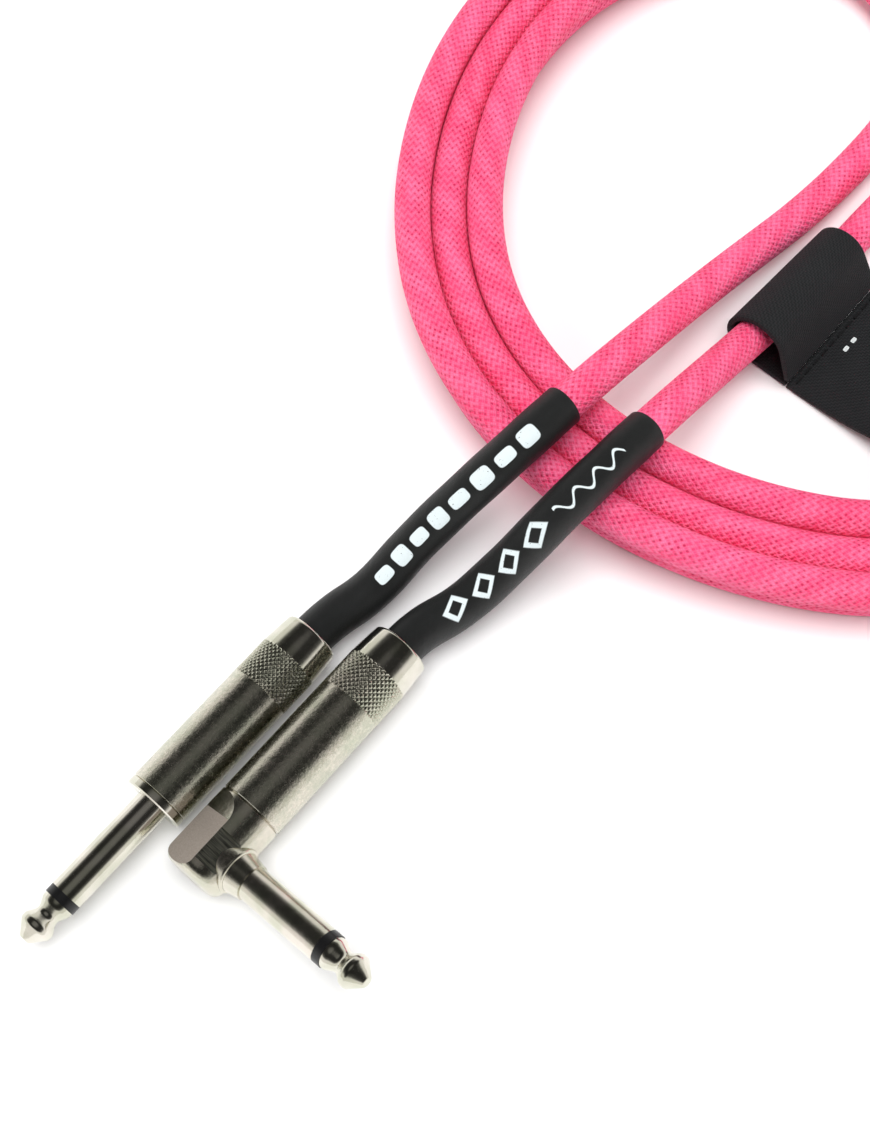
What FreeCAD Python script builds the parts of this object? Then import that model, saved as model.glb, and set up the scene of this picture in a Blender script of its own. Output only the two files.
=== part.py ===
import FreeCAD, Part
import math
import os
import Sketcher
from FreeCAD import Placement, Rotation, Vector

# An instrument cable: a straight jack plug and a right-angle jack plug on the two ends of a braided lead,
# which lies in a coil, with a fabric tie strap on one end. Millimetres, +Z up, standing on Z = 0.
# +X runs along the straight plug, from its tip towards the lead.

sizes = {
    # where things lie
    "originX": 40.72,            # from the straight plug's tip to the part's origin
    "originY": 22.2,             # from the straight plug's axis to the part's origin
    "angleX": 32.2,              # from the straight plug's tip to the other plug's pin axis
    "angleY": 13.9,              # between the axes of the two barrels
    "pinRaise": 15.0,            # degrees that the right-angle pin points up
    # the contact pin of both plugs
    "pinRadius": 3.175,
    "tipLength": 8.3,
    "ringLength": 1.7,
    "pinLength": 31.0,
    "noseRadius": 1.0,
    "ballStart": 2.6,
    "ballEnd": 3.6,
    "neckStart": 5.2,
    "neckEnd": 5.9,
    "neckRadius": 2.15,
    "shoulderStart": 7.5,
    "shoulderRadius": 3.0,
    "noseRound": 0.5,
    "ballRound": 0.9,
    "rodRadius": 1.0,
    "rodTubeRadius": 1.7,
    "rivetRadius": 1.6,
    "rivetLength": 0.7,
    "fitGap": 0.02,
    # inside both plugs
    "flangeLength": 1.5,
    "flangeBevel": 0.25,
    "threadRadius": 5.05,
    "threadLength": 5.5,
    "runGap": 0.06,
    "seamGap": 0.05,
    "washerLength": 1.0,
    "washerRadius": 2.9,
    "lugThickness": 0.5,
    "lugRadius": 1.9,
    "lugLength": 7.5,
    "lugRise": 1.7,
    "lugHole": 0.6,
    "angleTagReach": 13.2,       # how far the right-angle plug's tag goes into the barrel
    "armThickness": 0.6,
    "armWidth": 3.0,
    "armRise": 3.1,
    "armRing": 4.0,
    "clampLength": 4.0,
    "clampWall": 0.5,
    # the barrels
    "straightRadius": 5.95,
    "angleRadius": 6.3,
    "barrelLength": 40.0,
    "threadBore": 6.2,
    "cavityRadius": 4.8,
    "tailLength": 6.8,
    "knurlStart": 25.6,
    "knurlLength": 7.6,
    "tailDrop": 0.45,
    "rimRound": 0.75,
    "tailGap": 0.55,
    "linerStart": 6.6,
    "linerWall": 0.55,
    # the right-angle body
    "elbowEnd": 6.2,             # from the pin's axis to the body's closed end
    "elbowFront": 9.2,           # from the pin's axis to the barrel
    "elbowRound": 2.2,
    "bossRadius": 4.5,
    "bossReach": 6.7,
    "bossRound": 0.5,
    "collarLength": 3.1,
    "collarBase": 4.0,
    "collarTop": 3.45,
    "spigotRadius": 3.0,
    "backFlat": 5.05,
    "backFlatReach": 4.5,
    "backFlatTurn": 114.0,       # degrees round the body from the pin
    "sideFlat": 5.85,
    "sideFlatWidth": 6.6,
    "sideFlatTurn": 56.0,
    "cutterRadius": 8.0,
    "roomRadius": 3.5,
    "roomEnd": 2.6,
    "anglePin": 37.5,            # from the pin's tip to the barrel's axis
    # the lead
    "cableRadius": 3.65,
    "jacketRadius": 2.9,
    "coreRadius": 1.3,
    "wireRadius": 0.55,
    "cableStart": 30.0,          # from a barrel's front to the braid's cut end
    "jacketShown": 6.0,
    "coreShown": 7.0,
    "wireReach": 5.0,
    "shieldRadius": 0.8,
    "shieldDrop": 2.2,
    "shieldReach": 6.5,
    "shrinkRadius": 4.15,
    "shrinkStart": 4.0,          # from the braid's cut end
    "straightShrink": 70.0,
    "angleShrink": 67.5,
    # the coil, a low ring of five turns
    "coilX": 168.6,
    "coilY": 5.2,
    "coilRadius": 90.0,
    "coilWidth": 22.2,
    "coilTop": 14.4,
    "coilRound": 3.5,
    # the tie strap
    "strapX": 133.6,
    "strapWidth": 30.0,
    "strapThickness": 1.3,
    "loopNear": 5.6,             # the loop's inside radius at its end nearer the plugs
    "loopFar": 4.4,
    "loopY": -2.6,
    "seamReach": 8.9,            # from the middle of the loop to the seam
    "seamGapY": 0.3,
    "weaveThickness": 0.7,
}

doc = FreeCAD.newDocument("instrument_cable")
sheet = doc.addObject("Spreadsheet::Sheet", "Sizes")
for row, (alias, number) in enumerate(sizes.items(), start=1):
    sheet.set("A%d" % row, alias)
    sheet.set("B%d" % row, str(number))
    sheet.setAlias("B%d" % row, alias)
doc.recompute()
parts = []


def amount(text):
    """The number that a sum such as 'pinLength - tipLength' stands for."""
    total = 0.0
    sign = 1.0
    for word in text.split():
        if word in "+-":
            sign = 1.0 if word == "+" else -1.0
        elif word in sizes:
            total += sign * sizes[word]
        else:
            total += sign * float(word)
    return total


def formula(text):
    """The same sum, written with the sheet's cells."""
    return " ".join("Sizes." + word if word in sizes else word for word in text.split())


def keep(item, label, place=None):
    """Give a finished sub-part its name and place."""
    item.Label = label
    if place is not None:
        item.Placement = place
    parts.append(item)
    return item


def plane(body, role):
    return next(item for item in body.Origin.OriginFeatures if item.Role == role)


def addOutline(sketch, outline):
    """A closed outline whose corners are all tied to the sheet."""
    numbers = [Vector(amount(x), amount(y), 0) for x, y in outline]
    count = len(numbers)
    for index in range(count):
        sketch.addGeometry(Part.LineSegment(numbers[index], numbers[(index + 1) % count]), False)
    for index in range(count):
        sketch.addConstraint(Sketcher.Constraint("Coincident", index, 2, (index + 1) % count, 1))
    for index, (x, y) in enumerate(outline):
        for kind, axis, text in (("DistanceX", -2, x), ("DistanceY", -1, y)):
            if amount(text) == 0.0:
                sketch.addConstraint(Sketcher.Constraint("PointOnObject", index, 1, axis))
                continue
            rule = Sketcher.Constraint(kind, -1, 1, index, 1, amount(text))
            number = sketch.addConstraint(rule)
            sketch.setExpression("Constraints[%d]" % number, formula(text))


def turnedBody(name, outline):
    """A body turned round its own X axis from half of its section, given as (along, out) corners."""
    body = doc.addObject("PartDesign::Body", name)
    sketch = body.newObject("Sketcher::SketchObject", name + "_section")
    sketch.AttachmentSupport = (plane(body, "XZ_Plane"), [""])
    sketch.MapMode = "FlatFace"
    addOutline(sketch, outline)
    turn = body.newObject("PartDesign::Revolution", name + "_turn")
    turn.Profile = sketch
    turn.ReferenceAxis = (sketch, ["H_Axis"])
    turn.Angle = 360.0
    doc.recompute()
    return body


def circlesAt(shape, along, radius):
    """The names of a turned shape's circular edges at one place along X with one radius."""
    names = []
    for number, edge in enumerate(shape.Edges, start=1):
        curve = edge.Curve
        if not isinstance(curve, Part.Circle):
            continue
        if abs(curve.Center.x - along) < 0.001 and abs(curve.Radius - radius) < 0.001:
            names.append("Edge%d" % number)
    return names


def softened(body, kind, corners, text):
    """Round or chamfer the circular edges at the given (along, out) corners."""
    names = []
    for along, out in corners:
        names += circlesAt(body.Shape, amount(along), amount(out))
    base = body.Tip
    feature = body.newObject("PartDesign::" + kind, body.Name + "_" + kind.lower())
    feature.Base = (base, names)
    feature.setExpression("Radius" if kind == "Fillet" else "Size", formula(text))
    doc.recompute()
    return body


def cylinder(name, radius, length, place):
    """A Part cylinder along the given place's own Z."""
    item = doc.addObject("Part::Cylinder", name)
    item.setExpression("Radius", formula(radius))
    item.setExpression("Height", formula(length))
    item.Placement = place
    return item


def box(name, length, width, height, place):
    item = doc.addObject("Part::Box", name)
    item.setExpression("Length", formula(length))
    item.setExpression("Width", formula(width))
    item.setExpression("Height", formula(height))
    item.Placement = place
    return item


def fuse(name, items):
    item = doc.addObject("Part::MultiFuse", name)
    item.Shapes = items
    return item


def cut(name, base, tool):
    item = doc.addObject("Part::Cut", name)
    item.Base = base
    item.Tool = tool
    return item


def shaped(name, shape):
    """A sub-part whose shape is worked out here."""
    item = doc.addObject("Part::Feature", name)
    item.Shape = shape
    return item


ALONG_X = Rotation(Vector(0, 1, 0), 90)      # turns Z to +X
straightPlace = Placement(Vector(-amount("originX"), amount("originY"), amount("straightRadius")), Rotation())
straightBarrelX = "pinLength + flangeLength + seamGap"
elbowCentre = Vector(amount("angleX - originX"), amount("originY - angleY"), amount("angleRadius"))
elbowRoll = Rotation(Vector(1, 0, 0), -amount("pinRaise"))
elbowPlace = Placement(elbowCentre, elbowRoll)
barrelFront = Vector(amount("elbowFront + seamGap"), 0, 0)
anglePlace = Placement(elbowCentre + barrelFront, Rotation())


def anglePinPlace():
    """The pin's own frame: X from the tip to the barrel's axis, Z along the barrel."""
    lean = math.radians(amount("pinRaise"))
    towards = Vector(0, math.cos(lean), -math.sin(lean))
    side = Vector(0, math.sin(lean), math.cos(lean))
    turn = Rotation(towards, side, Vector(1, 0, 0), "XYZ")
    return Placement(elbowCentre - towards * amount("anglePin"), turn)


def contactTip(label, seat, place):
    """The tip contact with its rod, riveted over behind the washer and the solder tag at seat."""
    rodEnd = seat + " + washerLength + lugThickness"
    outline = [
        ("0", "0"), ("0", "noseRadius"), ("ballStart", "pinRadius"), ("ballEnd", "pinRadius"),
        ("neckStart", "neckRadius"), ("neckEnd", "neckRadius"), ("shoulderStart", "shoulderRadius"),
        ("tipLength", "shoulderRadius"), ("tipLength", "rodRadius"), (rodEnd, "rodRadius"),
        (rodEnd, "rivetRadius"), (rodEnd + " + rivetLength", "rivetRadius"), (rodEnd + " + rivetLength", "0"),
    ]
    body = turnedBody(label + "_solid", outline)
    softened(body, "Fillet", [("0", "noseRadius")], "noseRound")
    ends = [("ballStart", "pinRadius"), ("ballEnd", "pinRadius"), ("neckStart", "neckRadius"),
            ("neckEnd", "neckRadius")]
    softened(body, "Fillet", ends, "ballRound")
    keep(body, label, place)


def tipInsulator(label, end, place):
    """The black ring behind the tip and the tube round the rod, moulded in one piece."""
    bore = "rodRadius + fitGap"
    outline = [
        ("tipLength", bore), ("tipLength", "pinRadius"), ("tipLength + ringLength", "pinRadius"),
        ("tipLength + ringLength", "rodTubeRadius"), (end, "rodTubeRadius"), (end, bore),
    ]
    keep(turnedBody(label + "_solid", outline), label, place)


def washer(label, seat, place):
    outline = [
        (seat, "rodRadius + fitGap"), (seat, "washerRadius"),
        (seat + " + washerLength", "washerRadius"), (seat + " + washerLength", "rodRadius + fitGap"),
    ]
    keep(turnedBody(label + "_solid", outline), label, place)


def straightSleeve():
    """The earth contact: pin, flange and the thread that the barrel screws on to, turned in one piece."""
    start = "tipLength + ringLength"
    flange = "pinLength + flangeLength"
    end = flange + " + threadLength"
    bore = "rodTubeRadius + fitGap"
    outline = [
        (start, bore), (start, "pinRadius"), ("pinLength", "pinRadius"), ("pinLength", "straightRadius"),
        (flange, "straightRadius"), (flange, "threadRadius"), (end, "threadRadius"), (end, bore),
    ]
    body = turnedBody("straight_sleeve_solid", outline)
    softened(body, "Chamfer", [("pinLength", "straightRadius"), (end, "threadRadius")], "flangeBevel")
    keep(body, "straight_sleeve", straightPlace)


def barrel(label, radius, place):
    """A barrel: thread bore, cavity and tail bore inside, a knurled band and a tapered tail outside."""
    knurlEnd = "knurlStart + knurlLength"
    tail = "barrelLength - tailLength"
    cavity = "cavityRadius"
    thread = "threadRadius + runGap"
    bore = "shrinkRadius + tailGap"
    outline = [
        ("0", thread), ("0", radius), (knurlEnd, radius), ("barrelLength", radius + " - tailDrop"),
        ("barrelLength", bore), (tail, bore), (tail, cavity), ("threadBore", cavity), ("threadBore", thread),
    ]
    body = turnedBody(label + "_solid", outline)
    softened(body, "Fillet", [("barrelLength", radius + " - tailDrop")], "rimRound")
    softened(body, "Chamfer", [("0", radius)], "flangeBevel")
    keep(body, label, place)


def liner(label, place):
    """The insulating tube that sits in a barrel's cavity and slides out with it."""
    outside = "cavityRadius - runGap"
    inside = outside + " - linerWall"
    end = "barrelLength - tailLength - seamGap"
    outline = [("linerStart", inside), ("linerStart", outside), (end, outside), (end, inside)]
    keep(turnedBody(label + "_solid", outline), label, place)


def straightTag():
    """The tip's solder tag: a disc under the rivet, bent into a tab that runs back."""
    seat = amount("pinLength + flangeLength + threadLength + washerLength")
    disc = cylinder("tag_disc", "lugRadius", "lugThickness", Placement(Vector(seat, 0, 0), ALONG_X))
    half = amount("lugRadius") * 0.5
    riser = box("tag_riser", "lugThickness", "lugRadius", "lugRise + lugThickness",
                Placement(Vector(seat, -half, 0), Rotation()))
    tab = box("tag_tab", "lugLength", "lugRadius", "lugThickness",
              Placement(Vector(seat, -half, amount("lugRise")), Rotation()))
    rodHole = cylinder("tag_rod_hole", "rodRadius + fitGap", "lugThickness + lugThickness",
                       Placement(Vector(seat - amount("lugThickness") / 2, 0, 0), ALONG_X))
    eye = cylinder("tag_eye", "lugHole", "lugThickness + lugThickness",
                   Placement(Vector(seat + amount("lugLength") - 1.2, 0, amount("lugRise") - 0.2), Rotation()))
    tag = cut("straight_tip_tag_solid", fuse("tag_metal", [disc, riser, tab]),
              fuse("tag_holes", [rodHole, eye]))
    keep(tag, "straight_tip_tag", straightPlace)


def angleTag():
    """The right-angle plug's tip tag: flat, from under the rivet towards the barrel."""
    seat = amount("anglePin - roomRadius + washerLength")
    disc = cylinder("flat_tag_disc", "lugRadius", "lugThickness", Placement(Vector(seat, 0, 0), ALONG_X))
    half = amount("lugRadius") * 0.5
    strip = box("flat_tag_strip", "lugThickness", "lugRadius", "elbowFront + angleTagReach",
                Placement(Vector(seat, -half, 0), Rotation()))
    rodHole = cylinder("flat_tag_rod_hole", "rodRadius + fitGap", "lugThickness + lugThickness",
                       Placement(Vector(seat - amount("lugThickness") / 2, 0, 0), ALONG_X))
    eyeZ = amount("elbowFront + angleTagReach") - 1.2
    eye = cylinder("flat_tag_eye", "lugHole", "lugThickness + lugThickness",
                   Placement(Vector(seat - 0.2, 0, eyeZ), ALONG_X))
    tag = cut("angle_tip_tag_solid", fuse("flat_tag_metal", [disc, strip]),
              fuse("flat_tag_holes", [rodHole, eye]))
    keep(tag, "angle_tip_tag", anglePinPlace())


def earthArm(label, seat, clampAt, place):
    """The earth tag: a ring on the plug's back face, an arm, and a clamp bent round the lead's jacket."""
    ring = cylinder(label + "_disc", "armRing", "armThickness", Placement(Vector(seat, 0, 0), ALONG_X))
    half = amount("armWidth") / 2
    low = -amount("armRise + armThickness")
    arm = doc.addObject("Part::Box", label + "_arm")
    arm.Length = clampAt + amount("clampLength") - seat
    arm.setExpression("Width", formula("armWidth"))
    arm.setExpression("Height", formula("armThickness"))
    arm.Placement = Placement(Vector(seat, -half, low), Rotation())
    clamp = cylinder(label + "_clamp", "jacketRadius + fitGap + clampWall", "clampLength",
                     Placement(Vector(clampAt, 0, 0), ALONG_X))
    opening = cylinder(label + "_opening", "spigotRadius + fitGap", "armThickness + armThickness",
                       Placement(Vector(seat - amount("armThickness") / 2, 0, 0), ALONG_X))
    grip = cylinder(label + "_grip", "jacketRadius + fitGap", "clampLength + clampLength",
                    Placement(Vector(clampAt - amount("clampLength") / 2, 0, 0), ALONG_X))
    slit = box(label + "_slit", "clampLength + clampLength", "lugRadius", "armRing",
               Placement(Vector(clampAt - amount("clampLength") / 2, -amount("lugRadius") / 2, 0), Rotation()))
    metal = fuse(label + "_metal", [ring, arm, clamp])
    keep(cut(label + "_solid", metal, fuse(label + "_holes", [opening, grip, slit])), label, place)


def flatCutter(name, turn, depth, start, end):
    """A box that mills a flat on the right-angle body, turned round it from the pin by turn degrees."""
    block = doc.addObject("Part::Box", name)
    block.Length = end - start
    block.Width = 20
    block.Height = 6
    lean = Rotation(Vector(1, 0, 0), 90 - turn)
    block.Placement = Placement(lean.multVec(Vector(start, -10, depth)), lean)
    return block


def runOut(name, turn, depth, at):
    """The round end of a back flat, where the cutter lifts out."""
    lean = Rotation(Vector(1, 0, 0), 90 - turn)
    middle = Vector(at, 10, depth + amount("cutterRadius"))
    return cylinder(name, "cutterRadius", "cutterRadius + cutterRadius + cutterRadius",
                    Placement(lean.multVec(middle), lean.multiply(Rotation(Vector(1, 0, 0), 90))))


def angleBody():
    """The right-angle body: a bar with a round end, milled flats, a boss for the pin and a thread."""
    end = "elbowEnd + elbowFront"
    outline = [("0", "0"), ("0", "angleRadius"), (end, "angleRadius"), (end, "threadRadius"),
               (end + " + threadLength", "threadRadius"), (end + " + threadLength", "0")]
    blank = turnedBody("elbow_blank", outline)
    softened(blank, "Fillet", [("0", "angleRadius")], "elbowRound")
    corners = [(end, "angleRadius"), (end + " + threadLength", "threadRadius")]
    softened(blank, "Chamfer", corners, "flangeBevel")
    blank.Placement = Placement(Vector(-amount("elbowEnd"), 0, 0), Rotation())
    cutters = []
    for sign, side in ((1, "top"), (-1, "under")):
        back = sign * amount("backFlatTurn")
        cutters.append(flatCutter("back_flat_" + side, back, amount("backFlat"), -8, amount("backFlatReach")))
        cutters.append(runOut("run_out_" + side, back, amount("backFlat"), amount("backFlatReach")))
        half = amount("sideFlatWidth") / 2
        cutters.append(flatCutter("side_flat_" + side, sign * amount("sideFlatTurn"), amount("sideFlat"),
                                  -half, half))
    milled = cut("elbow_milled", blank, fuse("elbow_cutters", cutters))
    boss = turnedBody("elbow_boss", [("0", "0"), ("0", "bossRadius"), ("bossReach", "bossRadius"),
                                     ("bossReach", "0")])
    softened(boss, "Fillet", [("bossReach", "bossRadius")], "bossRound")
    boss.Placement = Placement(Vector(), Rotation(Vector(0, 0, 1), -90))
    room = cylinder("elbow_room", "roomRadius", "roomEnd + elbowFront + threadLength + seamGap",
                    Placement(Vector(-amount("roomEnd"), 0, 0), ALONG_X))
    pinBore = cylinder("elbow_pin_bore", "spigotRadius + fitGap", "bossReach + seamGap",
                       Placement(Vector(), Rotation(Vector(1, 0, 0), 90)))
    metal = fuse("elbow_metal", [milled, boss])
    keep(cut("angle_body_solid", metal, fuse("elbow_bores", [room, pinBore])), "angle_body", elbowPlace)


def angleShaft():
    """The earth contact of the right-angle plug, with its cone collar and the spigot pressed in the body."""
    start = "tipLength + ringLength"
    face = "anglePin - bossReach"
    neck = face + " - collarLength"
    end = "anglePin - roomRadius"
    bore = "rodTubeRadius + fitGap"
    outline = [(start, bore), (start, "pinRadius"), (neck, "pinRadius"), (neck, "collarTop"),
               (face, "collarBase"), (face, "spigotRadius"), (end, "spigotRadius"), (end, bore)]
    keep(turnedBody("angle_shaft_solid", outline), "angle_shaft", anglePinPlace())


def routeEdges(points, printed=None):
    """Straight runs joined by tangent arcs, each as large as its runs allow; a point in line makes no arc."""
    edges = []
    last = points[0]
    radii = []
    for before, corner, after in zip(points, points[1:], points[2:]):
        back = (before - corner).normalize()
        ahead = (after - corner).normalize()
        half = (math.pi - back.getAngle(ahead)) / 2
        if half < 0.001:
            continue
        trim = 0.45 * min((corner - before).Length, (after - corner).Length)
        radius = trim / math.tan(half)
        radii.append(radius)
        start = corner + back * trim
        stop = corner + ahead * trim
        inward = (back + ahead).normalize()
        middle = corner + inward * (radius / math.cos(half) - radius)
        edges.append(Part.LineSegment(last, start).toShape())
        edges.append(Part.Arc(start, middle, stop).toShape())
        last = stop
    edges.append(Part.LineSegment(last, points[-1]).toShape())
    if printed:
        print(printed, "arc radii", " ".join("%.1f" % radius for radius in radii))
    return edges


def stretch(edges, start, end):
    """The part of a route between two lengths along it."""
    pieces = []
    walked = 0.0
    for edge in edges:
        low = max(start - walked, 0.0)
        high = min(end - walked, edge.Length)
        if high - low > 0.001:
            first = edge.getParameterByLength(low)
            pieces.append(edge.Curve.toShape(first, edge.getParameterByLength(high)))
        walked += edge.Length
    return pieces


def tube(edges, radius):
    """A round solid along a route, its volume compared with its section times its length."""
    path = Part.Wire(edges)
    begin = path.Vertexes[0].Point
    heading = edges[0].tangentAt(edges[0].FirstParameter)
    ring = Part.Wire(Part.Circle(begin, heading, radius).toShape())
    solid = path.makePipeShell([ring], True, False)
    ratio = solid.Volume / (math.pi * radius ** 2 * path.Length)
    print("tube length %.1f, volume ratio %.4f" % (path.Length, ratio))
    if abs(ratio - 1) > 0.01:
        raise ValueError("a tube has lost its shape")
    return solid


# The lead's route: out of each plug, up over the coil, down inside it and round to join its turns.
straightRoute = [
    Vector(21.83, 22.2, 5.95), Vector(27.0, 22.2, 5.95), Vector(36.0, 22.2, 5.95), Vector(46.0, 19.7, 5.9),
    Vector(58.0, 19.6, 9.0), Vector(75.0, 15.4, 18.6), Vector(96.3, 13.4, 19.8), Vector(117.3, 12.2, 15.8),
    Vector(141.3, 11.5, 8.2), Vector(172.0, 7.9, 3.8), Vector(204.9, 8.0, 3.7), Vector(220.2, 18.7, 4.0),
    Vector(226.6, 36.3, 5.6), Vector(221.8, 54.3, 8.6), Vector(207.3, 66.4, 10.6), Vector(190.1, 74.3, 10.6),
]
angleRoute = [
    Vector(30.73, 8.3, 6.3), Vector(36.0, 8.3, 6.3), Vector(45.0, 8.3, 6.3), Vector(54.0, 5.1, 6.3),
    Vector(65.0, 3.4, 9.4), Vector(78.0, 0.8, 18.8), Vector(102.0, -1.5, 20.8), Vector(129.0, -0.8, 7.4),
    Vector(152.0, -2.6, 5.4), Vector(176.0, -2.9, 5.2), Vector(197.8, -3.4, 3.7), Vector(211.8, -11.6, 3.75),
    Vector(219.8, -25.7, 3.7), Vector(219.6, -41.9, 3.75), Vector(211.2, -55.8, 3.7), Vector(195.6, -64.4, 3.75),
    Vector(178.6, -68.6, 3.7),
]


def leadEnd(prefix, points, shrinkLength):
    """One end of the lead: its tube up to the coil and the heat-shrink sleeve over it."""
    edges = routeEdges(points, prefix + "_lead")
    keep(shaped(prefix + "_lead_solid", tube(edges, amount("cableRadius"))), prefix + "_lead")
    start = amount("shrinkStart")
    covered = stretch(edges, start, start + shrinkLength)
    outer = tube(covered, amount("shrinkRadius"))
    inner = tube(covered, amount("cableRadius"))
    keep(shaped(prefix + "_heat_shrink_solid", outer.cut(inner)), prefix + "_heat_shrink")


def leadInside(prefix, tagSide, tagFace, place):
    """What is stripped inside a barrel: inner jacket, core, conductor and the shield's pigtail."""
    cutEnd = amount("cableStart")
    jacketX = cutEnd - amount("jacketShown")
    coreX = jacketX - amount("coreShown")

    def along(radius, length, start, bore):
        solid = Part.makeCylinder(radius, length, Vector(start, 0, 0), Vector(1, 0, 0))
        hole = Part.makeCylinder(bore, length, Vector(start, 0, 0), Vector(1, 0, 0))
        return solid.cut(hole)

    core = amount("coreRadius")
    wire = amount("wireRadius")
    jacket = along(amount("jacketRadius"), amount("jacketShown"), jacketX, core)
    keep(shaped(prefix + "_inner_jacket_solid", jacket), prefix + "_inner_jacket", place)
    coreLength = amount("coreShown + jacketShown")
    keep(shaped(prefix + "_core_solid", along(core, coreLength, coreX, wire)), prefix + "_core", place)
    rise = tagSide * (tagFace - wire)
    corner = coreX - amount("wireReach") / 2
    bend = [Vector(cutEnd, 0, 0), Vector(corner, 0, 0), Vector(coreX - amount("wireReach"), 0, 0) + rise]
    keep(shaped(prefix + "_conductor_solid", tube(routeEdges(bend), wire)), prefix + "_conductor", place)
    shieldY = -amount("shieldDrop")
    tail = [Vector(jacketX, 0, shieldY), Vector(jacketX - amount("shieldReach"), 0, shieldY)]
    pigtail = tube([Part.LineSegment(tail[0], tail[1]).toShape()], amount("shieldRadius"))
    keep(shaped(prefix + "_shield_tail_solid", pigtail), prefix + "_shield_tail", place)
    blobs = (("_tip_solder", Vector(coreX - amount("wireReach") + 0.6, 0, 0) + rise, 1.15),
             ("_earth_solder", Vector(tail[1].x + 0.8, 0, shieldY - 0.6), 1.25))
    for name, middle, radius in blobs:
        blob = doc.addObject("Part::Ellipsoid", prefix + name + "_solid")
        blob.Radius1 = radius * 0.75
        blob.Radius2 = radius * 1.25
        blob.Radius3 = radius
        keep(blob, prefix + name, place.multiply(Placement(middle, Rotation())))


def coil():
    """The outer shape of the coiled turns: a low ring with round edges."""
    inner = "coilRadius - coilWidth"
    corners = [("0", inner), ("0", "coilRadius"), ("coilTop", "coilRadius"), ("coilTop", inner)]
    body = turnedBody("lead_coil_solid", corners)
    softened(body, "Fillet", corners, "coilRound")
    middle = Vector(amount("coilX"), amount("coilY"), 0)
    keep(body, "lead_coil", Placement(middle, Rotation(Vector(0, 1, 0), -90)))


def strapLoop():
    """The folded end of the strap round the lead, drawn to the seam as a drop-shaped tunnel that narrows."""
    wall = amount("strapThickness")
    reach = amount("seamReach")
    y = amount("loopY")

    def drop(x, radius, floor, tipY, tipHigh):
        centre = Vector(x, y, floor + radius)
        far = Vector(x, y + tipY, tipHigh)
        away = far - centre
        lean = math.atan2(away.z, away.y)
        touch = lean - math.acos(radius / away.Length)
        top = centre + Vector(0, radius * math.cos(touch), radius * math.sin(touch))
        bottom = Vector(x, y, floor)
        low = Vector(x, y + tipY, floor)
        side = centre + Vector(0, radius, 0)
        edges = [Part.Arc(bottom, side, top).toShape(), Part.makeLine(top, far), Part.makeLine(far, low),
                 Part.makeLine(low, bottom)]
        return Part.Wire(edges)

    ends = ((amount("strapX"), amount("loopNear")), (amount("strapX + strapWidth"), amount("loopFar")))
    outer = Part.makeLoft([drop(x, inside + wall, 0.0, -reach, wall + wall) for x, inside in ends], True, True)
    hollow = Part.makeLoft([drop(x, inside, wall, wall - reach, wall + 0.02) for x, inside in ends], True, True)
    keep(shaped("strap_loop_solid", outer.cut(hollow)), "strap_loop")


def ribbon(points, thickness, lift):
    """A flat band as wide as the strap along a route in the Y-Z plane, lifted off the route."""
    path = Part.Wire(routeEdges(points))
    width = amount("strapWidth")
    start = points[0]
    heading = (points[1] - points[0]).normalize()
    up = Vector(1, 0, 0).cross(heading) * -1
    low = start + up * lift
    high = start + up * (lift + thickness)
    across = Vector(width, 0, 0)
    section = Part.makePolygon([low, low + across, high + across, high, low])
    return path.makePipeShell([section], True, False)


def strapFlap():
    """The long end of the strap: a woven face on a pile backing, laid over the coil."""
    seam = amount("loopY - seamReach - seamGapY")
    x = amount("strapX")
    lie = [
        Vector(x, seam, 0.02), Vector(x, seam - 19.0, 0.02), Vector(x, seam - 39.5, 15.5),
        Vector(x, seam - 77.0, 15.7), Vector(x, seam - 94.0, 0.9), Vector(x, seam - 106.0, 0.6),
    ]
    pile = amount("strapThickness - weaveThickness")
    keep(shaped("strap_pile_solid", ribbon(lie, pile, 0.0)), "strap_pile")
    keep(shaped("strap_flap_solid", ribbon(lie, amount("weaveThickness"), pile)), "strap_flap")


def strapTrim():
    """A row of thread along the seam."""
    seam = amount("loopY - seamReach - seamGapY")
    width = amount("strapWidth")
    stitches = []
    for stitch in range(10):
        x = amount("strapX") + 1.4 + stitch * (width - 4.8) / 9
        at = Vector(x, seam - 1.6, amount("strapThickness") + 0.02)
        stitches.append(Part.makeBox(2.0, 0.4, 0.3, at))
    keep(shaped("strap_stitching_solid", Part.makeCompound(stitches)), "strap_stitching")


def build():
    straightSeat = "pinLength + flangeLength + threadLength"
    contactTip("straight_tip", straightSeat, straightPlace)
    tipInsulator("straight_tip_insulator", straightSeat, straightPlace)
    straightSleeve()
    washer("straight_washer", straightSeat, straightPlace)
    straightTag()
    front = amount(straightBarrelX)
    clampAt = amount("cableStart - jacketShown") + 1.0
    earthArm("straight_earth_arm", amount(straightSeat), front + clampAt, straightPlace)
    barrelPlace = Placement(straightPlace.Base + Vector(front, 0, 0), Rotation())
    liner("straight_liner", barrelPlace)
    barrel("straight_barrel", "straightRadius", barrelPlace)
    leadInside("straight", Vector(0, 0, 1), amount("lugRise"), barrelPlace)

    angleSeat = "anglePin - roomRadius"
    contactTip("angle_tip", angleSeat, anglePinPlace())
    tipInsulator("angle_tip_insulator", angleSeat, anglePinPlace())
    angleShaft()
    angleBody()
    washer("angle_washer", angleSeat, anglePinPlace())
    angleTag()
    earthArm("angle_earth_arm", amount("threadLength - seamGap"), clampAt, anglePlace)
    liner("angle_liner", anglePlace)
    barrel("angle_barrel", "angleRadius", anglePlace)
    pinSide = elbowRoll.multVec(Vector(0, -1, 0))
    tagFace = amount("roomRadius - washerLength - lugThickness")
    leadInside("angle", pinSide, tagFace, anglePlace)

    leadEnd("straight", straightRoute, amount("straightShrink"))
    leadEnd("angle", angleRoute, amount("angleShrink"))
    coil()
    strapLoop()
    strapFlap()
    strapTrim()


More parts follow.
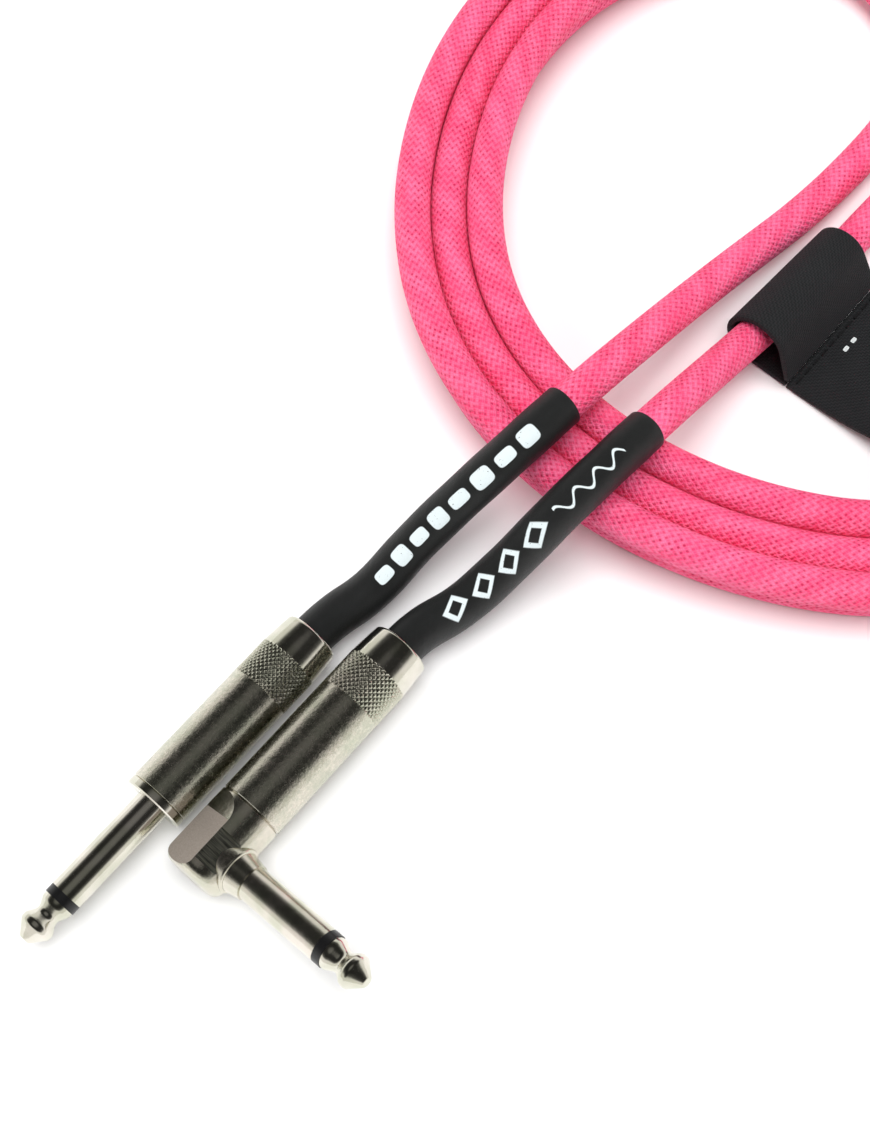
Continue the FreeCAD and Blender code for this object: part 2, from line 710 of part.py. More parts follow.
build()
doc.recompute()
for item in doc.Objects:
    if "Invalid" in item.State or "Error" in item.State:
        raise ValueError("failed object: " + item.Name)
os.makedirs("parts", exist_ok=True)
for item in parts:
    if item.Shape.isNull() or not item.Shape.isValid():
        raise ValueError("bad shape: " + item.Label)
    item.Shape.exportStep("parts/" + item.Label + ".step")
    print(item.Label, "%.1f" % item.Shape.Volume)
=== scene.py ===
import math
import bmesh
import bpy
from mathutils import Matrix, Vector


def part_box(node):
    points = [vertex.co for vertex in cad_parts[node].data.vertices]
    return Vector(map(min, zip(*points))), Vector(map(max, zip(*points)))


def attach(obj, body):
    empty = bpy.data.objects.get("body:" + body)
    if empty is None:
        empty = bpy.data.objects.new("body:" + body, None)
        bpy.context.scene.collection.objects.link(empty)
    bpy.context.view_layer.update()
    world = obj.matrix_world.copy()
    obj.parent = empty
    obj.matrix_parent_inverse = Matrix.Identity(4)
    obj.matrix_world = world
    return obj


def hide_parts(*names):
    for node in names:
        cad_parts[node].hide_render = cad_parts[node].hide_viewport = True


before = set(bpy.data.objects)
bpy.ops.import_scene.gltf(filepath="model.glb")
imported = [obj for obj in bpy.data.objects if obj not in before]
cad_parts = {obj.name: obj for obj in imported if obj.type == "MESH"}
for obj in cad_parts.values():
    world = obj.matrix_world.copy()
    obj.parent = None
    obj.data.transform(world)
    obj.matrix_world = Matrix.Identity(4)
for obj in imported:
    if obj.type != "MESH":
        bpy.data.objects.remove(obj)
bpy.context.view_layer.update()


# shader sums

class Value:
    # a node's output that can be used in Python sums
    def __init__(self, finish, socket):
        self.finish = finish
        self.socket = socket

    def maths(self, operation, *values):
        return self.finish.node("ShaderNodeMath", {"operation": operation}, dict(enumerate(values)))

    def __add__(self, other):
        return self.maths("ADD", self, other)

    def __radd__(self, other):
        return self.maths("ADD", other, self)

    def __sub__(self, other):
        return self.maths("SUBTRACT", self, other)

    def __rsub__(self, other):
        return self.maths("SUBTRACT", other, self)

    def __mul__(self, other):
        return self.maths("MULTIPLY", self, other)

    def __rmul__(self, other):
        return self.maths("MULTIPLY", other, self)

    def __truediv__(self, other):
        return self.maths("DIVIDE", self, other)

    def sine(self):
        return self.maths("SINE", self)

    def wave(self):
        # a smooth wave from 0 to 1, one for each whole number
        return (self * (2 * math.pi)).sine() * 0.5 + 0.5

    def size(self):
        return self.maths("ABSOLUTE", self)

    def power(self, exponent):
        return self.maths("POWER", self, exponent)

    def highest(self, other):
        return self.maths("MAXIMUM", self, other)

    def above(self, other):
        return self.maths("GREATER_THAN", self, other)

    def fraction(self):
        return self.maths("FRACT", self)

    def ramp(self, low, high, atLow=0.0, atHigh=1.0):
        settings = {"clamp": True, "interpolation_type": "SMOOTHSTEP"}
        inputs = {0: self, 1: low, 2: high, 3: atLow, 4: atHigh}
        return self.finish.node("ShaderNodeMapRange", settings, inputs)


class Finish:
    def __init__(self, name):
        self.material = bpy.data.materials.new(name)
        self.material.use_nodes = True
        self.nodes = self.material.node_tree.nodes
        self.links = self.material.node_tree.links
        self.shader = self.nodes["Principled BSDF"]

    def node(self, kind, settings=None, inputs=None, output=0):
        made = self.nodes.new(kind)
        for name, value in (settings or {}).items():
            setattr(made, name, value)
        for name, value in (inputs or {}).items():
            self.feed(made.inputs[name], value)
        return Value(self, made.outputs[output])

    def feed(self, socket, value):
        if isinstance(value, Value):
            self.links.new(value.socket, socket)
        else:
            socket.default_value = value

    def place(self):
        return self.node("ShaderNodeTexCoord", output="Object")

    def along(self):
        # the piece's own map: x is metres along it, y is turns round it or metres across it
        flat = self.node("ShaderNodeUVMap", {"uv_map": "lie"})
        return self.split(flat)

    def split(self, vector):
        return [self.node("ShaderNodeSeparateXYZ", None, {0: vector}, axis) for axis in range(3)]

    def join(self, x, y, z=0.0):
        return self.node("ShaderNodeCombineXYZ", None, {0: x, 1: y, 2: z})

    def noise(self, vector, scale, detail=3.0, rough=0.55):
        inputs = {"Vector": vector, "Scale": scale, "Detail": detail, "Roughness": rough}
        return self.node("ShaderNodeTexNoise", None, inputs)

    def mix(self, amount, first, second):
        return self.node("ShaderNodeMix", {"data_type": "RGBA"}, {0: amount, 6: first, 7: second}, 2)

    def bump(self, height, distance, strength=1.0):
        inputs = {"Height": height, "Distance": distance, "Strength": strength}
        return self.node("ShaderNodeBump", None, inputs)

    def give(self, **values):
        names = {"colour": "Base Color", "rough": "Roughness", "metal": "Metallic", "normal": "Normal",
                 "specular": "Specular IOR Level", "sheen": "Sheen Weight",
                 "sheenRough": "Sheen Roughness", "sheenTint": "Sheen Tint"}
        for name, value in values.items():
            self.feed(self.shader.inputs[names[name]], value)
        return self.material


def shade(red, green, blue):
    # a colour given as the eye sees it, 0 to 1
    def linear(part):
        return part / 12.92 if part <= 0.04045 else ((part + 0.055) / 1.055) ** 2.4
    return (linear(red), linear(green), linear(blue), 1.0)


# camera

cameraSet = {
    "place": (-0.02734, -0.05883, 0.28072),
    "right": (0.65497, -0.75566, -0.00024),
    "up": (0.70010, 0.60670, 0.37653),
    "lens": 50.65,
}


def makeCamera():
    lens = bpy.data.cameras.new("camera")
    lens.lens = cameraSet["lens"]
    lens.clip_start = 0.005
    camera = bpy.data.objects.new("camera", lens)
    right = Vector(cameraSet["right"]).normalized()
    back = right.cross(Vector(cameraSet["up"])).normalized()
    up = back.cross(right)
    turn = Matrix((right, up, back)).transposed().to_4x4()
    camera.matrix_world = Matrix.Translation(cameraSet["place"]) @ turn
    bpy.context.collection.objects.link(camera)
    bpy.context.scene.camera = camera


makeCamera()
print("camera made")


# the lead

leadSet = {
    "radius": 0.00365,
    "coilMiddle": (0.1686, 0.0052),
    "turnStep": 15.0,
    "firstTurn": 88.0,
    "lastTurn": 1709.0,
    "carriers": 16.0,
    "braidPitch": 0.00175,
    "sides": 32,
    "fineness": 9,
}

# metres; out of the straight plug, over the coil and round inside it to its first turn
straightRoute = [
    (0.02183, 0.0222, 0.00595), (0.0270, 0.0222, 0.00595), (0.0360, 0.0222, 0.00595),
    (0.0460, 0.0197, 0.0059), (0.0580, 0.0196, 0.0090), (0.0750, 0.0154, 0.0186),
    (0.0963, 0.0134, 0.0198), (0.1173, 0.0122, 0.0158), (0.1413, 0.0115, 0.0082),
    (0.1720, 0.0079, 0.0038), (0.2049, 0.0080, 0.0037), (0.2202, 0.0187, 0.0040),
    (0.2266, 0.0363, 0.0056), (0.2218, 0.0543, 0.0086), (0.2073, 0.0664, 0.0106),
    (0.1901, 0.0743, 0.0106),
]

# out of the right-angle plug, through the strap and round to the coil's last turn
angleRoute = [
    (0.03073, 0.0083, 0.0063), (0.0360, 0.0083, 0.0063), (0.0450, 0.0083, 0.0063),
    (0.0540, 0.0051, 0.0063), (0.0650, 0.0034, 0.0094), (0.0780, 0.0008, 0.0188),
    (0.1020, -0.0015, 0.0208), (0.1290, -0.0008, 0.0074), (0.1520, -0.0026, 0.0054),
    (0.1760, -0.0029, 0.0052), (0.1978, -0.0034, 0.0037), (0.2118, -0.0116, 0.00375),
    (0.2198, -0.0257, 0.0037), (0.2196, -0.0419, 0.00375), (0.2112, -0.0558, 0.0037),
    (0.1956, -0.0644, 0.00375), (0.1786, -0.0686, 0.0037),
]

# degrees wound, radius and height of the turn there: three turns on top, then two under them
winding = [
    (61, 0.07175, 0.0106), (355, 0.07175, 0.0106), (398, 0.07905, 0.0095), (635, 0.07905, 0.0095),
    (655, 0.07905, 0.0110), (705, 0.07905, 0.0110), (750, 0.08635, 0.0107), (1035, 0.08635, 0.0107),
    (1075, 0.0844, 0.00365), (1375, 0.0844, 0.00365), (1412, 0.0740, 0.00365), (1760, 0.0740, 0.00365),
]

# degrees round the coil, and how far its turns lie inside a true circle there
swelling = [(60, 0.0), (118, -0.0024), (153, -0.0008), (198, -0.0023), (234, 0.0), (360, 0.0)]


def easeBetween(table, at):
    for (low, *first), (high, *second) in zip(table, table[1:]):
        if at <= high:
            part = min(max((at - low) / (high - low), 0.0), 1.0)
            part = part * part * (3 - 2 * part)
            return [a + (b - a) * part for a, b in zip(first, second)]
    return list(table[-1][1:])


def coilPoint(wound):
    radius, height = easeBetween(winding, wound)
    turn = math.radians(wound)
    radius += easeBetween(swelling, wound % 360)[0]
    radius /= 0.75 + 0.25 * math.cos(math.radians(leadSet["turnStep"]))
    x, y = leadSet["coilMiddle"]
    return (x + radius * math.cos(turn), y + radius * math.sin(turn), height)


def leadLine():
    # the whole lead as one smooth spline
    points = list(straightRoute)
    wound = leadSet["firstTurn"]
    while wound < leadSet["lastTurn"]:
        points.append(coilPoint(wound))
        wound += leadSet["turnStep"]
    points += reversed(angleRoute)
    curve = bpy.data.curves.new("leadLine", "CURVE")
    curve.dimensions = "3D"
    curve.resolution_u = leadSet["fineness"]
    spline = curve.splines.new("NURBS")
    spline.points.add(len(points) - 1)
    for knot, place in zip(spline.points, points):
        knot.co = (*place, 1.0)
    spline.order_u = 3
    spline.use_endpoint_u = True
    holder = bpy.data.objects.new("leadLine", curve)
    bpy.context.collection.objects.link(holder)
    bpy.context.view_layer.update()
    mesh = bpy.data.meshes.new_from_object(holder.evaluated_get(bpy.context.evaluated_depsgraph_get()))
    line = [vertex.co.copy() for vertex in mesh.vertices]
    bpy.data.objects.remove(holder)
    bpy.data.meshes.remove(mesh)
    return line


def lengths(line):
    walked = [0.0]
    for before, after in zip(line, line[1:]):
        walked.append(walked[-1] + (after - before).length)
    return walked


def pointAt(line, walked, at):
    for index in range(1, len(line)):
        if walked[index] >= at:
            span = walked[index] - walked[index - 1]
            part = (at - walked[index - 1]) / span if span else 0.0
            return line[index - 1].lerp(line[index], part)
    return line[-1].copy()


def tube(name, line, walked, radii, sides, closed=True, rise=None):
    # rings of points round a line, skinned, with a map of metres along and turns round
    shape = bmesh.new()
    lie = shape.loops.layers.uv.new("lie")
    heading = (line[1] - line[0]).normalized()
    side = Vector((0, 0, 1)).cross(heading).normalized()
    rings = []
    for index, place in enumerate(line):
        ahead = line[min(index + 1, len(line) - 1)] - line[max(index - 1, 0)]
        heading = ahead.normalized()
        side = (side - heading * side.dot(heading)).normalized()
        lift = heading.cross(side)
        ring = []
        for step in range(sides):
            turn = 2 * math.pi * step / sides
            out = side * math.cos(turn) + lift * math.sin(turn)
            radius = radii[index] + (rise(walked[index], turn) if rise else 0.0)
            ring.append(shape.verts.new(place + out * radius))
        rings.append(ring)
    for index in range(len(rings) - 1):
        for step in range(sides):
            following = (step + 1) % sides
            corners = [(index, step), (index, following), (index + 1, following), (index + 1, step)]
            face = shape.faces.new([rings[row][column] for row, column in corners])
            face.smooth = True
            rounds = (step, step + 1, step + 1, step)
            for loop, (row, column), around in zip(face.loops, corners, rounds):
                loop[lie].uv = (walked[row], around / sides)
    if closed:
        for ring, at in ((rings[0], walked[0]), (rings[-1], walked[-1])):
            cap = shape.faces.new(ring)
            for loop in cap.loops:
                loop[lie].uv = (at, 0.0)
    bmesh.ops.recalc_face_normals(shape, faces=shape.faces)
    return made(name, shape)


def made(name, shape):
    mesh = bpy.data.meshes.new(name)
    shape.to_mesh(mesh)
    shape.free()
    piece = bpy.data.objects.new(name, mesh)
    bpy.context.collection.objects.link(piece)
    return piece


def braidFinish():
    # woven jacket: carriers of several yarns cross over and under; the yarn crests get a painted highlight,
    # and the gaps between them get a painted shade that is stronger where the weave is slack
    finish = Finish("pinkBraid")
    x, around, _ = finish.along()
    wander = finish.noise(finish.join(x * 70.0, around * 3.0), 1.0, 2.0) * 0.9
    carriers, pitch = leadSet["carriers"], leadSet["braidPitch"]
    first = around * carriers + x / pitch + wander
    second = around * carriers - x / pitch + wander
    over = (((first * 0.5).fraction() - 0.5) * ((second * 0.5).fraction() - 0.5)).above(0.0)
    lineA = first.wave()
    lineB = second.wave()
    cell = lineA * over + lineB * (1.0 - over)
    yarns = (second * 3.0).wave() * over + (first * 3.0).wave() * (1.0 - over)
    loose = finish.noise(finish.join(x * 260.0, around * 7.0), 1.0, 2.0).ramp(0.35, 0.70)
    gap = (lineA * 0.5 + lineB * 0.5).ramp(0.02, 0.30, 1.0, 0.0) * (loose * 0.75 + 0.25)
    fuzz = finish.noise(finish.place(), 6500.0, 3.0, 0.7)
    bands = (around * 3.0 + x * 85.0 + wander * 2.2).wave()
    wide = finish.noise(finish.join(x * 25.0, around * 3.0), 1.0, 3.0)
    base = finish.mix(wide.ramp(0.35, 0.7), shade(1.0, 0.22, 0.43), shade(1.0, 0.31, 0.52))
    # painted highlight: lighter pink on the crests of the carriers and yarns, and along the bands
    crestHighlight = finish.mix(cell * 0.30 + yarns * 0.16 + bands * 0.14, base, shade(1.0, 0.58, 0.73))
    speck = finish.mix(fuzz.ramp(0.55, 0.85) * 0.35, crestHighlight, shade(1.0, 0.70, 0.82))
    # painted shade: darker pink in the gaps between the yarns, more where the weave is slack, and along the
    # low bands
    gapShade = gap * 0.72 + (1.0 - bands) * 0.10
    colour = finish.mix(gapShade, speck, shade(0.74, 0.06, 0.24))
    normal = finish.bump(cell * 0.8 + yarns * 0.25 - gap * 0.45 + fuzz * 0.2, 0.0003, 0.9)
    return finish.give(colour=colour, rough=0.58 + gap * 0.25, normal=normal, specular=0.3, sheen=0.12,
                       sheenRough=0.4, sheenTint=shade(1.0, 0.62, 0.75))


def makeLead():
    line = leadLine()
    walked = lengths(line)
    radius = leadSet["radius"]
    lead = tube("lead", line, walked, [radius] * len(line), leadSet["sides"])
    lead.data.materials.append(braidFinish())
    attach(lead, "lead")
    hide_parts("straight_lead", "angle_lead", "lead_coil")
    return lead, line, walked


lead, leadPath, leadWalked = makeLead()
print("lead made, %.3f m" % leadWalked[-1])


# heat-shrink sleeves

sleeveSet = {
    "start": 0.004,
    "straightLength": 0.070,
    "angleLength": 0.0675,
    "radius": 0.00415,
    "wall": 0.00042,
    "rim": 0.00012,
    "sides": 48,
    "steps": 60,
    "markedSide": 0.29,
}

# metres along and across the sleeve
beadSet = {
    "pitch": 0.0052,
    "halfWidth": 0.0019,
    "halfHeight": 0.0013,
    "taller": 0.0005,
    "from": 0.0208,
    "to": 0.0624,
}

hoopSet = {
    "pitch": 0.0072,
    "lean": 0.35,
    "outside": (0.0031, 0.0026),
    "inside": (0.0017, 0.0015),
    "from": 0.0144,
    "to": 0.0432,
    "wave": 0.0046,
    "waveHeight": 0.0011,
    "waveFrom": 0.0445,
    "waveTo": 0.0600,
}


def between(x, low, high):
    return x.above(low) * (1.0 - x.above(high))


def fromMiddle(x, pitch):
    # metres from the middle of the nearest mark
    return (((x / pitch).fraction() - 0.5) * pitch).size()


def beadMarks(x, offset):
    # a row of solid rounded blocks, the second of each pair taller
    pitch = beadSet["pitch"]
    tall = ((x / (2 * pitch)).fraction()).above(0.5) * beadSet["taller"]
    width = fromMiddle(x, pitch) / beadSet["halfWidth"]
    height = offset.size() / (tall + beadSet["halfHeight"])
    edge = (width.power(4.0) + height.power(4.0)).ramp(0.85, 1.15, 1.0, 0.0)
    return edge * between(x, beadSet["from"], beadSet["to"])


def hoopMarks(x, offset):
    # hollow leaning diamonds, then a fine wavy line
    lean = x + offset * hoopSet["lean"]
    step = fromMiddle(lean, hoopSet["pitch"])
    outlines = (hoopSet["outside"], hoopSet["inside"])
    reach, inner = (step / wide + offset.size() / high for wide, high in outlines)
    hoop = reach.ramp(0.92, 1.04, 1.0, 0.0) * inner.ramp(0.92, 1.06)
    wave = (x / hoopSet["wave"] * (2 * math.pi)).sine() * hoopSet["waveHeight"]
    wavy = (offset - wave).size().ramp(0.0002, 0.0004, 1.0, 0.0)
    first = hoop * between(lean, hoopSet["from"], hoopSet["to"])
    return first.highest(wavy * between(x, hoopSet["waveFrom"], hoopSet["waveTo"]))


def shrinkFinish(name, marks):
    # matt shrunk tube, a little wrinkled, with plain printed marks along the side that shows
    finish = Finish(name)
    x, around, _ = finish.along()
    grain = finish.noise(finish.place(), 5200.0, 2.0)
    soft = finish.noise(finish.join(x * 130.0, around * 5.0), 1.0, 3.0)
    crease = finish.noise(finish.join(x * 420.0 + around * 9.0, around * 6.0), 1.0, 2.0)
    offset = (around - sleeveSet["markedSide"]) * (2 * math.pi * sleeveSet["radius"])
    wear = finish.noise(finish.place(), 2600.0, 2.0).ramp(0.22, 0.36)
    printed = marks(x, offset) * wear
    colour = finish.mix(soft, shade(0.085, 0.088, 0.088), shade(0.135, 0.138, 0.138))
    inked = finish.mix(printed, colour, shade(0.84, 0.88, 0.89))
    normal = finish.bump(grain * 0.22 + soft * 0.8 + crease * 0.5, 0.00026, 0.9)
    return finish.give(colour=inked, rough=0.44 + grain * 0.14, normal=normal, specular=0.42)


def sleeve(name, node, line, walked, start, length, marks):
    steps = sleeveSet["steps"]
    along = [length * step / steps for step in range(steps + 1)]
    places = [pointAt(line, walked, start + at) for at in along]

    def wrinkle(at, turn):
        # drawn in over the braid, with shallow folds along it
        fold = 0.00004 * math.sin(3 * turn + at * 90) * math.sin(at * 210 + 1.3 * math.sin(2 * turn))
        free = min(max((at - 0.006) / 0.006, 0.0), 1.0)
        return (fold + 0.00003 * math.sin(at * 520 + 2 * turn)) * free - 0.00006 * (1.0 - free)

    radii = [sleeveSet["radius"]] * len(places)
    shell = tube(name, places, along, radii, sleeveSet["sides"], closed=False, rise=wrinkle)
    wall = shell.modifiers.new("wall", "SOLIDIFY")
    wall.thickness = sleeveSet["wall"]
    wall.offset = -1.0
    rim = shell.modifiers.new("rim", "BEVEL")
    rim.width = sleeveSet["rim"]
    rim.segments = 2
    rim.limit_method = "ANGLE"
    shell.data.materials.append(shrinkFinish(name + "Finish", marks))
    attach(shell, "lead")
    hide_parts(node)
    return shell


straightSleeve = sleeve("straightSleeve", "straight_heat_shrink", leadPath, leadWalked, sleeveSet["start"],
                        sleeveSet["straightLength"], beadMarks)
backPath = list(reversed(leadPath))
backWalked = lengths(backPath)
angleSleeve = sleeve("angleSleeve", "angle_heat_shrink", backPath, backWalked, sleeveSet["start"],
                     sleeveSet["angleLength"], hoopMarks)
print("sleeves made")


# metal

def nickelFinish(name, colour, rough, mottle, grain, lines=0.0):
    # plated brass: a soft mottle over the plating, fine grain and, where it is turned, rings
    finish = Finish(name)
    place = finish.place()
    blotch = finish.noise(place, 1500.0, 3.0, 0.6)
    fine = finish.noise(place, 5200.0, 2.0)
    smear = finish.noise(place, 160.0, 2.0)
    tint = finish.mix(smear.ramp(0.3, 0.7), colour, shade(0.80, 0.80, 0.73))
    speckle = (blotch.ramp(0.34, 0.66, 1.0, 0.0) * 0.7 + fine.ramp(0.35, 0.65) * 0.3) * min(mottle, 1.0)
    tint = finish.mix(speckle * 0.55, tint, shade(0.62, 0.64, 0.57))
    height = blotch * mottle + fine * grain
    if lines:
        x = finish.split(place)[0]
        height = height + finish.noise(finish.join(x * 9000.0, 0.0), 1.0, 2.0) * lines
    normal = finish.bump(height, 0.00005, 1.0)
    return finish.give(colour=tint, metal=1.0, rough=rough + (blotch - 0.5) * 0.22, normal=normal)


def sandFinish():
    # a milled flat with a sand-like grain
    finish = Finish("sandFlat")
    grain = finish.noise(finish.place(), 4200.0, 3.0, 0.7)
    normal = finish.bump(grain, 0.00007, 1.0)
    tint = finish.mix(grain.ramp(0.25, 0.75), shade(0.5504, 0.516, 0.4816), shade(0.64, 0.60, 0.56))
    return finish.give(colour=tint, metal=0.35, rough=0.62, normal=normal, specular=0.5)


def toolFinish():
    # a milled flat with the cutter's fine lines along the pin
    finish = Finish("toolFlat")
    x, y, z = finish.split(finish.place())
    lines = finish.noise(finish.join(x * 5200.0, y * 220.0, z * 220.0), 1.0, 3.0, 0.7)
    normal = finish.bump(lines, 0.00006, 1.0)
    tint = finish.mix(lines.ramp(0.3, 0.7), shade(0.44, 0.45, 0.41), shade(0.84, 0.84, 0.78))
    return finish.give(colour=tint, metal=1.0, rough=0.30 + lines * 0.15, normal=normal)


warmNickel = shade(0.88, 0.85, 0.80)
satinNickel = nickelFinish("satinNickel", warmNickel, 0.25, 1.05, 0.30)
brightNickel = nickelFinish("brightNickel", shade(0.90, 0.88, 0.84), 0.13, 0.10, 0.05)
pinNickel = nickelFinish("pinNickel", shade(0.90, 0.87, 0.83), 0.16, 0.14, 0.08, lines=0.25)
bodyNickel = nickelFinish("bodyNickel", warmNickel, 0.22, 0.45, 0.15)
sandFlat = sandFinish()
toolFlat = toolFinish()


def ringFinish():
    finish = Finish("contactRing")
    fine = finish.noise(finish.place(), 3000.0, 2.0)
    normal = finish.bump(fine, 0.00003, 1.0)
    colour = finish.mix(fine, shade(0.045, 0.045, 0.048), shade(0.085, 0.085, 0.09))
    return finish.give(colour=colour, rough=0.34, normal=normal, specular=0.5)


blackRing = ringFinish()


def smoothed(node, name, finish, body, crease=28.0):
    # the CAD shape itself, shaded smooth
    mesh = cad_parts[node].data.copy()
    shape = bmesh.new()
    shape.from_mesh(mesh)
    bmesh.ops.remove_doubles(shape, verts=shape.verts, dist=0.000002)
    shape.to_mesh(mesh)
    shape.free()
    mesh.attributes.remove(mesh.attributes["custom_normal"])
    mesh.shade_smooth()
    mesh.set_sharp_from_angle(angle=math.radians(crease))
    mesh.materials.clear()
    mesh.materials.append(finish)
    piece = bpy.data.objects.new(name, mesh)
    bpy.context.collection.objects.link(piece)
    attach(piece, body)
    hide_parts(node)
    return piece


smoothed("straight_tip", "straightTip", brightNickel, "lead")
smoothed("angle_tip", "angleTip", brightNickel, "lead")
smoothed("straight_tip_insulator", "straightRing", blackRing, "lead")
smoothed("angle_tip_insulator", "angleRing", blackRing, "lead")
smoothed("straight_sleeve", "straightPin", brightNickel, "lead")
smoothed("angle_shaft", "anglePin", pinNickel, "lead")

elbowSet = {
    "raise": 15.0,
    "flats": (("back", 114.0), ("back", -114.0), ("side", 56.0), ("side", -56.0)),
}


def makeElbow():
    elbow = smoothed("angle_body", "angleBody", bodyNickel, "lead", 24.0)
    elbow.data.materials.append(sandFlat)
    elbow.data.materials.append(toolFlat)
    for kind, turn in elbowSet["flats"]:
        lean = math.radians(90.0 - turn - elbowSet["raise"])
        normal = Vector((0.0, -math.sin(lean), math.cos(lean)))
        for face in elbow.data.polygons:
            if face.normal.dot(normal) > 0.9995:
                face.material_index = 1 if kind == "back" else 2


makeElbow()
print("plugs made")


# barrels

barrelSet = {
    "length": 0.040,
    "straightRadius": 0.00595,
    "angleRadius": 0.0063,
    "knurlStart": 0.0256,
    "knurlEnd": 0.0332,
    "knurlPitch": 0.00109,
    "knurlAround": 36,
    "knurlDepth": 0.00020,
    "knurlCrest": 1.4,
    "knurlEdge": 0.00012,
    "knurlRows": 72,
    "tailDrop": 0.00045,
    "rim": 0.00075,
    "rimSteps": 8,
    "bevel": 0.00025,
    "threadRadius": 0.00511,
    "threadEnd": 0.0062,
    "cavity": 0.0048,
    "tailBore": 0.0047,
    "steps": 288,
}


def saw(value):
    # 0 at whole numbers, 1 half way
    part = value % 1.0
    return 1.0 - abs(2.0 * part - 1.0)


def barrelOutline(radius):
    # along the axis and out from it, round the outside from the thread's mouth and back inside
    start, end, length = (barrelSet[name] for name in ("knurlStart", "knurlEnd", "length"))
    bevel, rim, drop = (barrelSet[name] for name in ("bevel", "rim", "tailDrop"))
    bore, cavity = barrelSet["tailBore"], barrelSet["cavity"]
    thread, threadEnd = barrelSet["threadRadius"], barrelSet["threadEnd"]
    edge, rows, corner = (barrelSet[name] for name in ("knurlEdge", "knurlRows", "rimSteps"))
    outline = [(0.0, thread), (0.0, radius - bevel), (bevel, radius)]
    outline += [(start * part, radius) for part in (0.03, 0.25, 0.5, 0.75, 0.96, 0.985)]
    outline.append((start - edge, radius))
    span = end - start
    outline += [(start + span * row / rows, radius) for row in range(rows + 1)]
    outline.append((end + edge, radius))
    for part in (0.08, 0.3, 0.6):
        outline.append((end + (length - end) * part, radius - drop * part))
    for step in range(corner + 1):
        turn = math.radians(90.0 * step / corner)
        outline.append((length - rim * (1 - math.sin(turn)), radius - drop - rim * (1 - math.cos(turn))))
    outline += [(length, bore), (end, bore), (end, cavity), (threadEnd, cavity), (threadEnd, thread)]
    return outline


def makeBarrel(name, node, radius, body):
    low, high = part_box(node)
    axis = Vector((low[0], (low[1] + high[1]) / 2, (low[2] + high[2]) / 2))
    shape = bmesh.new()
    outline = [shape.verts.new((along, 0.0, out)) for along, out in barrelOutline(radius)]
    edges = [shape.edges.new(pair) for pair in zip(outline, outline[1:] + outline[:1])]
    bmesh.ops.spin(shape, geom=outline + edges, cent=(0, 0, 0), axis=(1, 0, 0), angle=2 * math.pi,
                   steps=barrelSet["steps"], use_merge=True, use_duplicate=False)
    bmesh.ops.remove_doubles(shape, verts=shape.verts, dist=0.0000015)
    bmesh.ops.recalc_face_normals(shape, faces=shape.faces)
    start, end = barrelSet["knurlStart"], barrelSet["knurlEnd"]
    for vertex in shape.verts:
        # the knurl: pyramids between two crossing sets of grooves
        out = math.hypot(vertex.co.y, vertex.co.z)
        if out > radius - 0.00001 and start <= vertex.co.x <= end + 0.000001:
            turns = math.atan2(vertex.co.z, vertex.co.y) / (2 * math.pi) * barrelSet["knurlAround"]
            along = (vertex.co.x - start) / barrelSet["knurlPitch"]
            height = min(saw(along + turns), saw(along - turns)) * barrelSet["knurlCrest"]
            drop = barrelSet["knurlDepth"] * (1.0 - min(height, 1.0))
            vertex.co.y *= (out - drop) / out
            vertex.co.z *= (out - drop) / out
    bmesh.ops.translate(shape, verts=shape.verts, vec=axis)
    barrel = made(name, shape)
    barrel.data.shade_smooth()
    barrel.data.set_sharp_from_angle(angle=math.radians(24.0))
    barrel.data.materials.append(satinNickel)
    barrel.data.materials.append(brightNickel)
    tailAt = axis.x + barrelSet["knurlEnd"] + 0.00005
    for face in barrel.data.polygons:
        if face.center.x > tailAt or face.center.x < axis.x + barrelSet["bevel"]:
            face.material_index = 1
    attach(barrel, body)
    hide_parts(node)
    return barrel


makeBarrel("straightBarrel", "straight_barrel", barrelSet["straightRadius"], "straight_barrel")
makeBarrel("angleBarrel", "angle_barrel", barrelSet["angleRadius"], "angle_barrel")
print("barrels made")


# inside the plugs

def plainFinish(name, dark, light, scale, rough, metal=0.0, depth=0.00004):
    finish = Finish(name)
    fine = finish.noise(finish.place(), scale, 3.0)
    normal = finish.bump(fine, depth, 0.8)
    colour = finish.mix(fine.ramp(0.3, 0.7), dark, light)
    return finish.give(colour=colour, metal=metal, rough=rough, normal=normal)


# each kind of inner piece: its finish, dark and light colour, grain, roughness, metal, and depth if it is wiry
insideSet = {
    "washer": ("fibreWasher", (0.45, 0.26, 0.16), (0.62, 0.38, 0.24), 2600.0, 0.7),
    "tip_tag": ("tagBrass", (0.70, 0.62, 0.42), (0.86, 0.80, 0.62), 1400.0, 0.3, 1.0),
    "earth_arm": ("armBrass", (0.68, 0.60, 0.40), (0.84, 0.78, 0.60), 1400.0, 0.32, 1.0),
    "inner_jacket": ("innerJacket", (0.07, 0.07, 0.075), (0.12, 0.12, 0.13), 1800.0, 0.6),
    "core": ("corePlastic", (0.86, 0.86, 0.84), (0.95, 0.95, 0.93), 900.0, 0.35),
    "conductor": ("copperWire", (0.66, 0.32, 0.18), (0.90, 0.52, 0.34), 5200.0, 0.35, 1.0),
    "shield_tail": ("shieldWire", (0.62, 0.30, 0.17), (0.88, 0.50, 0.32), 6000.0, 0.42, 1.0, 0.00012),
    "tip_solder": ("tipSolder", (0.62, 0.63, 0.65), (0.82, 0.83, 0.84), 1100.0, 0.25, 1.0),
    "earth_solder": ("earthSolder", (0.62, 0.63, 0.65), (0.82, 0.83, 0.84), 1100.0, 0.28, 1.0),
    "liner": ("linerPlastic", (0.84, 0.84, 0.82), (0.93, 0.93, 0.92), 700.0, 0.3),
}


